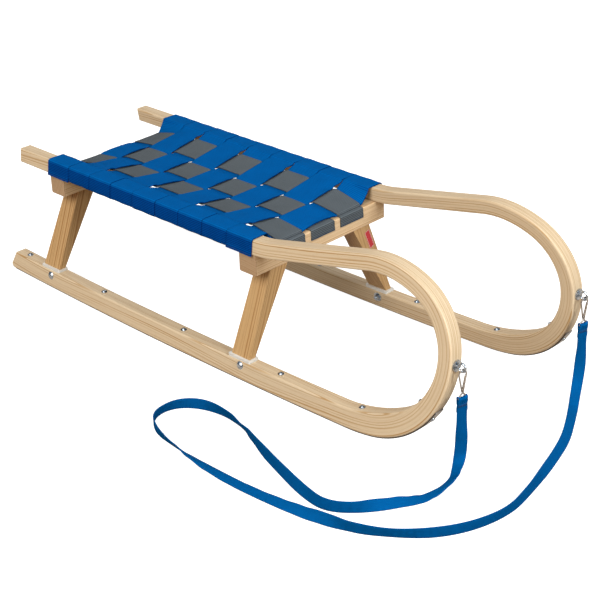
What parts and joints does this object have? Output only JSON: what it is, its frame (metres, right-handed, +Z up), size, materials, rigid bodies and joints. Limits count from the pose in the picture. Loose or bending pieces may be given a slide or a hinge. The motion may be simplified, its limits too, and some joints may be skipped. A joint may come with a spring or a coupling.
{
  "type": "two-seater wooden sled",
  "caption": "Wooden sled with bentwood horn runners on splayed legs, a woven belt seat and a flat pull strap clipped to eye bolts.",
  "frame": {"origin": "on the floor under the middle of the sled", "axes": "+X forward to the horns, +Y to the left, +Z up"},
  "size_m": [1.29, 0.6343, 0.3214],
  "materials": {
    "wood_bentwood": "pale steam-bent ash, clear satin varnish",
    "wood_crossbar": "sawn beech, clear satin varnish",
    "runner_steel": "bare flat steel, worn bright",
    "zinc_steel": "zinc plated",
    "collar_plastic": "off-white moulded plastic",
    "belt_blue": "ribbed blue polypropylene webbing",
    "belt_grey": "ribbed grey polypropylene webbing",
    "strap_blue": "narrow blue polypropylene webbing",
    "label_red": "plain red printed label"
  },
  "bodies": {
    "root": {"bentwood_left": "wood_bentwood", "bentwood_right": "wood_bentwood", "collar_front_left": "collar_plastic", "collar_front_right": "collar_plastic", "collar_rear_left": "collar_plastic", "collar_rear_right": "collar_plastic", "cross_belt_1": "belt_blue", "cross_belt_2": "belt_blue", "cross_belt_3": "belt_blue", "cross_belt_4": "belt_blue", "cross_belt_5": "belt_blue", "cross_belt_6": "belt_blue", "cross_belt_7": "belt_blue", "cross_belt_8": "belt_blue", "cross_belt_9": "belt_blue", "eye_bolt_left": "zinc_steel", "eye_bolt_right": "zinc_steel", "leg_bolt_front_left": "zinc_steel", "leg_bolt_front_right": "zinc_steel", "leg_bolt_rear_left": "zinc_steel", "leg_bolt_rear_right": "zinc_steel", "leg_front_left": "wood_crossbar", "leg_front_right": "wood_crossbar", "leg_rear_left": "wood_crossbar", "leg_rear_right": "wood_crossbar", "long_belt_left": "belt_grey", "long_belt_middle": "belt_grey", "long_belt_right": "belt_grey", "pull_strap": "strap_blue", "runner_iron_left": "runner_steel", "runner_iron_right": "runner_steel", "snap_hook_left": "zinc_steel", "snap_hook_right": "zinc_steel", "strap_loop_left": "strap_blue", "strap_loop_right": "strap_blue", "yoke_front": "wood_crossbar", "yoke_rear": "wood_crossbar"}
  },
  "joints": []
}
